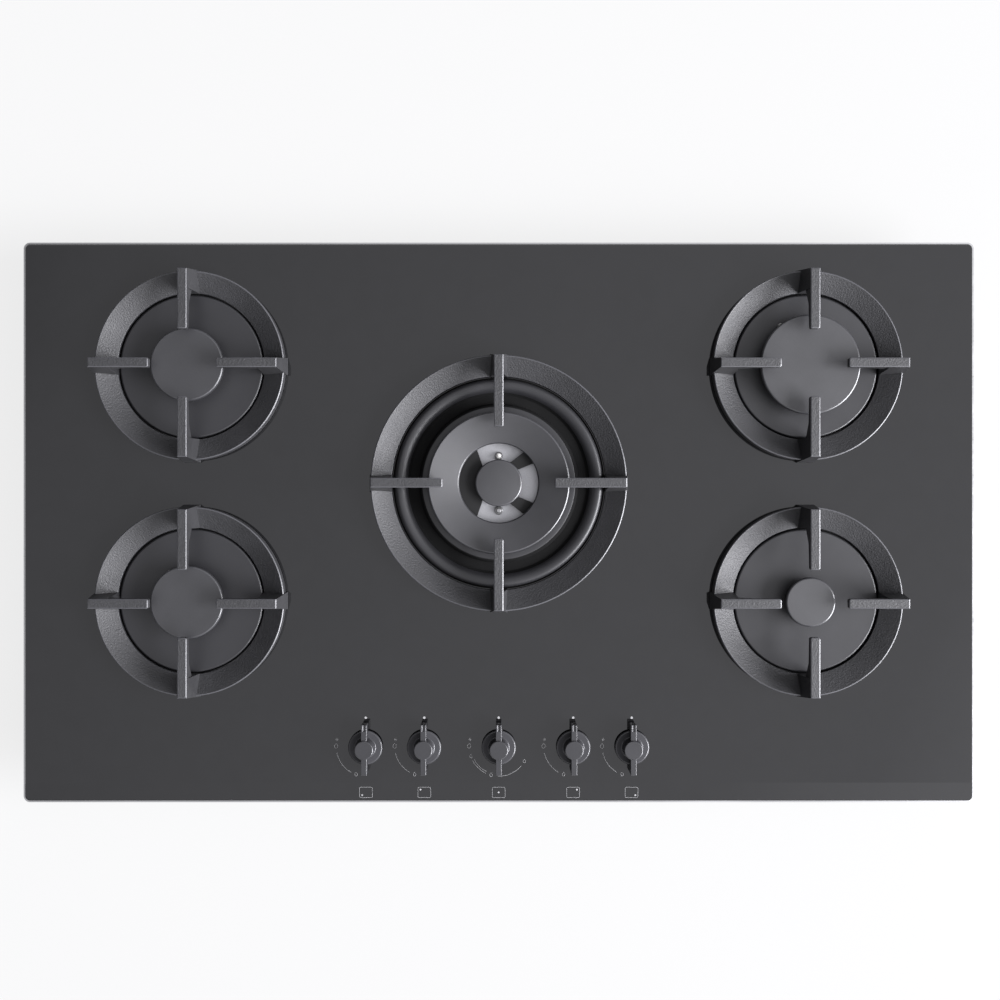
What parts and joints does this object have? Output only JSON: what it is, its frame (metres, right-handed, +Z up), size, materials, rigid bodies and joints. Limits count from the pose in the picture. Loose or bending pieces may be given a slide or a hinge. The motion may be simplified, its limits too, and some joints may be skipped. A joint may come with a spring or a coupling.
{
  "type": "gas cooktop",
  "caption": "Built-in gas cooktop: black glass panel, cast-iron pan supports over side burners and a central multi-ring wok burner, with push-and-turn knobs in a row at the front.",
  "frame": {"origin": "middle of the underside of the bottom pan, below the middle of the glass panel", "axes": "+X to the user's right along the panel's width, +Y to the rear, away from the knobs, +Z up out of the worktop"},
  "size_m": [0.9, 0.53, 0.1066],
  "materials": {
    "black_glass": "gloss, black-backed toughened glass",
    "trim_steel": "brushed",
    "seal_rubber": "matte",
    "pan_steel": "galvanised, dull",
    "tube_steel": "plain satin",
    "brass": "machined",
    "aluminium_tube": "drawn, satin",
    "cast_aluminium": "die-cast, satin",
    "dark_aluminium": "die-cast, dark heat-resistant coat",
    "black_enamel": "satin black enamel",
    "cast_iron": "matte black enamelled cast iron",
    "pad_rubber": "matte",
    "ceramic": "glazed white",
    "sensor_steel": "satin",
    "knob_plastic": "satin black",
    "module_plastic": "moulded",
    "lead_silicone": "matte"
  },
  "bodies": {
    "hob": {"glass_top": "black_glass", "steel_rim": "trim_steel", "worktop_seal": "seal_rubber", "bottom_pan": "pan_steel", "gas_rail": "tube_steel", "inlet_elbow": "brass", "burner_pipes": "aluminium_tube", "injectors": "brass", "burner_cups": "cast_aluminium", "burner_dish_rear_left": "black_enamel", "burner_dish_front_left": "black_enamel", "burner_dish_rear_right": "black_enamel", "burner_dish_front_right": "black_enamel", "burner_dish_wok": "black_enamel", "igniters": "ceramic", "thermocouples": "sensor_steel", "tap_bodies": "cast_aluminium", "tap_bonnets": "pan_steel", "spindle_seals": "seal_rubber", "tap_springs": "sensor_steel", "ignition_module": "module_plastic", "terminal_block": "module_plastic", "ignition_leads": "lead_silicone", "screws": "tube_steel"},
    "tap_front_left": {"tap_plug_front_left": "brass"},
    "control_front_left": {"tap_spindle_front_left": "tube_steel", "knob_front_left": "knob_plastic"},
    "tap_rear_left": {"tap_plug_rear_left": "brass"},
    "control_rear_left": {"tap_spindle_rear_left": "tube_steel", "knob_rear_left": "knob_plastic"},
    "tap_wok": {"tap_plug_wok": "brass"},
    "control_wok": {"tap_spindle_wok": "tube_steel", "knob_wok": "knob_plastic"},
    "tap_rear_right": {"tap_plug_rear_right": "brass"},
    "control_rear_right": {"tap_spindle_rear_right": "tube_steel", "knob_rear_right": "knob_plastic"},
    "tap_front_right": {"tap_plug_front_right": "brass"},
    "control_front_right": {"tap_spindle_front_right": "tube_steel", "knob_front_right": "knob_plastic"},
    "head_rear_left": {"burner_head_rear_left": "dark_aluminium"},
    "cap_rear_left": {"burner_cap_rear_left": "black_enamel"},
    "support_rear_left": {"grate_rear_left": "cast_iron", "grate_pads_rear_left": "pad_rubber"},
    "head_front_left": {"burner_head_front_left": "dark_aluminium"},
    "cap_front_left": {"burner_cap_front_left": "black_enamel"},
    "support_front_left": {"grate_front_left": "cast_iron", "grate_pads_front_left": "pad_rubber"},
    "head_rear_right": {"burner_head_rear_right": "dark_aluminium"},
    "cap_rear_right": {"burner_cap_rear_right": "black_enamel"},
    "support_rear_right": {"grate_rear_right": "cast_iron", "grate_pads_rear_right": "pad_rubber"},
    "head_front_right": {"burner_head_front_right": "dark_aluminium"},
    "cap_front_right": {"burner_cap_front_right": "black_enamel"},
    "support_front_right": {"grate_front_right": "cast_iron", "grate_pads_front_right": "pad_rubber"},
    "head_wok": {"burner_head_wok": "dark_aluminium"},
    "cap_wok": {"burner_cap_wok": "black_enamel"},
    "support_wok": {"grate_wok": "cast_iron", "grate_pads_wok": "pad_rubber"},
    "cap_wok_inner": {"burner_cap_wok_inner": "black_enamel"}
  },
  "joints": [
    {"name": "turn_front_left", "type": "hinge", "parent": "hob", "child": "tap_front_left", "pos_m": [-0.1257, -0.212, 0.05], "axis": [0, 0, 1], "range_deg": [0, 160]},
    {"name": "push_front_left", "type": "slide", "parent": "tap_front_left", "child": "control_front_left", "axis": [0, 0, -1], "range_m": [0, 0.003], "stiffness_N_per_m": 1500, "springref_m": -0.003, "deforming": ["tap_springs"]},
    {"name": "turn_rear_left", "type": "hinge", "parent": "hob", "child": "tap_rear_left", "pos_m": [-0.0704, -0.212, 0.05], "axis": [0, 0, 1], "range_deg": [0, 160]},
    {"name": "push_rear_left", "type": "slide", "parent": "tap_rear_left", "child": "control_rear_left", "axis": [0, 0, -1], "range_m": [0, 0.003], "stiffness_N_per_m": 1500, "springref_m": -0.003, "deforming": ["tap_springs"]},
    {"name": "turn_wok", "type": "hinge", "parent": "hob", "child": "tap_wok", "pos_m": [0, -0.212, 0.05], "axis": [0, 0, 1], "range_deg": [0, 240]},
    {"name": "push_wok", "type": "slide", "parent": "tap_wok", "child": "control_wok", "axis": [0, 0, -1], "range_m": [0, 0.003], "stiffness_N_per_m": 1500, "springref_m": -0.003, "deforming": ["tap_springs"]},
    {"name": "turn_rear_right", "type": "hinge", "parent": "hob", "child": "tap_rear_right", "pos_m": [0.0704, -0.212, 0.05], "axis": [0, 0, 1], "range_deg": [0, 160]},
    {"name": "push_rear_right", "type": "slide", "parent": "tap_rear_right", "child": "control_rear_right", "axis": [0, 0, -1], "range_m": [0, 0.003], "stiffness_N_per_m": 1500, "springref_m": -0.003, "deforming": ["tap_springs"]},
    {"name": "turn_front_right", "type": "hinge", "parent": "hob", "child": "tap_front_right", "pos_m": [0.1257, -0.212, 0.05], "axis": [0, 0, 1], "range_deg": [0, 160]},
    {"name": "push_front_right", "type": "slide", "parent": "tap_front_right", "child": "control_front_right", "axis": [0, 0, -1], "range_m": [0, 0.003], "stiffness_N_per_m": 1500, "springref_m": -0.003, "deforming": ["tap_springs"]},
    {"name": "lift_head_rear_left", "type": "slide", "parent": "hob", "child": "head_rear_left", "axis": [0, 0, 1], "range_m": [0, 0.003]},
    {"name": "lift_cap_rear_left", "type": "slide", "parent": "head_rear_left", "child": "cap_rear_left", "axis": [0, 0, 1], "range_m": [0, 0.004]},
    {"name": "lift_support_rear_left", "type": "slide", "parent": "hob", "child": "support_rear_left", "axis": [0, 0, 1], "range_m": [0, 0.08]},
    {"name": "lift_head_front_left", "type": "slide", "parent": "hob", "child": "head_front_left", "axis": [0, 0, 1], "range_m": [0, 0.003]},
    {"name": "lift_cap_front_left", "type": "slide", "parent": "head_front_left", "child": "cap_front_left", "axis": [0, 0, 1], "range_m": [0, 0.004]},
    {"name": "lift_support_front_left", "type": "slide", "parent": "hob", "child": "support_front_left", "axis": [0, 0, 1], "range_m": [0, 0.08]},
    {"name": "lift_head_rear_right", "type": "slide", "parent": "hob", "child": "head_rear_right", "axis": [0, 0, 1], "range_m": [0, 0.003]},
    {"name": "lift_cap_rear_right", "type": "slide", "parent": "head_rear_right", "child": "cap_rear_right", "axis": [0, 0, 1], "range_m": [0, 0.004]},
    {"name": "lift_support_rear_right", "type": "slide", "parent": "hob", "child": "support_rear_right", "axis": [0, 0, 1], "range_m": [0, 0.08]},
    {"name": "lift_head_front_right", "type": "slide", "parent": "hob", "child": "head_front_right", "axis": [0, 0, 1], "range_m": [0, 0.003]},
    {"name": "lift_cap_front_right", "type": "slide", "parent": "head_front_right", "child": "cap_front_right", "axis": [0, 0, 1], "range_m": [0, 0.004]},
    {"name": "lift_support_front_right", "type": "slide", "parent": "hob", "child": "support_front_right", "axis": [0, 0, 1], "range_m": [0, 0.08]},
    {"name": "lift_head_wok", "type": "slide", "parent": "hob", "child": "head_wok", "axis": [0, 0, 1], "range_m": [0, 0.002]},
    {"name": "lift_cap_wok", "type": "slide", "parent": "head_wok", "child": "cap_wok", "axis": [0, 0, 1], "range_m": [0, 0.003]},
    {"name": "lift_support_wok", "type": "slide", "parent": "hob", "child": "support_wok", "axis": [0, 0, 1], "range_m": [0, 0.08]},
    {"name": "lift_cap_wok_inner", "type": "slide", "parent": "head_wok", "child": "cap_wok_inner", "axis": [0, 0, 1], "range_m": [0, 0.003]}
  ]
}
